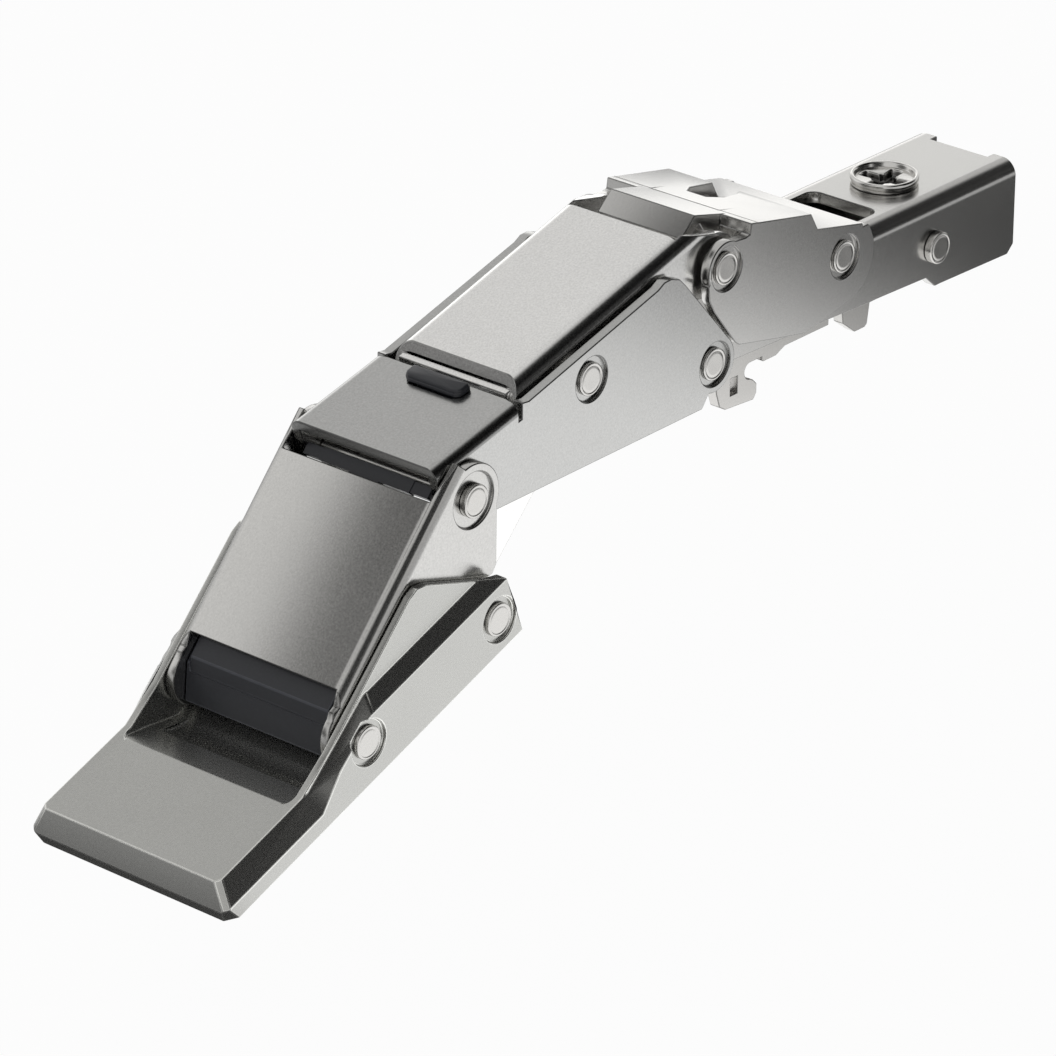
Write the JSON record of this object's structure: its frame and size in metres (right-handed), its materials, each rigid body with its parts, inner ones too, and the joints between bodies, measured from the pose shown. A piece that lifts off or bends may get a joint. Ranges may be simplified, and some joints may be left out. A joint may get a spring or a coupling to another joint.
{
  "type": "glass door hinge",
  "caption": "Concealed hinge for a glass cabinet door, with nested pressed levers on riveted pins, a soft close switch, a clip-on arm and a glue-on door boss, shown open.",
  "frame": {"origin": "centre of the round seat in the front clip hooks, on the hinge's middle plane", "axes": "+X from the arm towards the door boss, +Y across the hinge, +Z away from the cabinet's side panel"},
  "size_m": [0.1389, 0.0276, 0.0491],
  "materials": {
    "frame_steel": "satin nickel-plated sheet",
    "clip_steel": "dark phosphated sheet",
    "pins": "nickel-plated rivet",
    "spring_steel": "bright spring wire",
    "nickel_steel": "satin nickel-plated pressed sheet",
    "screw_steel": "nickel-plated",
    "bushes": "turned, nickel-plated",
    "dark_plastic": "moulded, fine satin",
    "boss_zinc": "satin nickel-plated die casting"
  },
  "bodies": {
    "frame": {"mounting_frame": "frame_steel", "clip_lever_pin": "pins", "clip_spring": "spring_steel"},
    "clip": {"clip_lever": "clip_steel"},
    "arm_body": {"arm": "nickel_steel", "rear_arm_pin": "pins", "closing_spring": "spring_steel"},
    "screw": {"depth_screw": "screw_steel"},
    "control": {"control_link": "nickel_steel", "upper_arm_pin": "pins", "link_pin": "pins", "upper_bushes": "bushes"},
    "outer": {"outer_lever": "nickel_steel", "lower_arm_pin": "pins", "scissor_pin": "pins", "lower_bushes": "bushes", "lever_washers": "bushes"},
    "inner": {"inner_lever": "nickel_steel"},
    "switch": {"switch_slider": "dark_plastic"},
    "front": {"front_lever": "nickel_steel", "knuckle_pin": "pins", "damper_housing": "dark_plastic", "damper_cylinder": "dark_plastic"},
    "damper": {"damper_slide": "dark_plastic"},
    "boss": {"door_boss": "boss_zinc", "rear_boss_pin": "pins", "front_boss_pin": "pins", "boss_sleeves": "bushes"}
  },
  "joints": [
    {"name": "closing", "type": "hinge", "parent": "arm_body", "child": "outer", "pos_m": [0.0115, 0, 0.0058], "axis": [0, -1, 0], "range_deg": [0, 110]},
    {"name": "control_turn", "type": "hinge", "parent": "arm_body", "child": "control", "pos_m": [-0.0108, 0, 0.0112], "axis": [0, -1, 0], "range_deg": [0, 110.01], "deforming": ["closing_spring"]},
    {"name": "inner_turn", "type": "hinge", "parent": "outer", "child": "inner", "pos_m": [0.032, 0, 0.0109], "axis": [0, -1, 0], "range_deg": [-110.01, 0]},
    {"name": "front_turn", "type": "hinge", "parent": "outer", "child": "front", "pos_m": [0.0522, 0, 0.0045], "axis": [0, -1, 0], "range_deg": [-110.01, 0]},
    {"name": "boss_turn", "type": "hinge", "parent": "front", "child": "boss", "pos_m": [0.0711, 0, -0.0152], "axis": [0, -1, 0], "range_deg": [0, 110.01]},
    {"name": "depth_slide", "type": "slide", "parent": "frame", "child": "arm_body", "axis": [1, 0, 0], "range_m": [-0.0015, 0.0015]},
    {"name": "screw_turn", "type": "hinge", "parent": "arm_body", "child": "screw", "pos_m": [-0.0308, 0, 0.0116], "axis": [0, 0, 1], "range_deg": [-150.1, 150.1]},
    {"name": "clip_turn", "type": "hinge", "parent": "frame", "child": "clip", "pos_m": [-0.0402, 0, 0.0044], "axis": [0, -1, 0], "range_deg": [0, 20], "stiffness_Nm_per_rad": 0.02, "springref_deg": -20.05},
    {"name": "switch_slide", "type": "slide", "parent": "outer", "child": "switch", "axis": [0.9731, 0, -0.2303], "range_m": [0, 0.0008]},
    {"name": "damper_stroke", "type": "slide", "parent": "front", "child": "damper", "axis": [-0.67, 0, 0.7424], "range_m": [-0.002, 0]}
  ],
  "couplings": [
    {"joint": "control_turn", "follows": "closing", "ratio": 1},
    {"joint": "inner_turn", "follows": "closing", "ratio": -1},
    {"joint": "front_turn", "follows": "closing", "ratio": -1},
    {"joint": "boss_turn", "follows": "closing", "ratio": 1},
    {"joint": "screw_turn", "follows": "depth_slide", "rad_per_m": 1745.3}
  ]
}
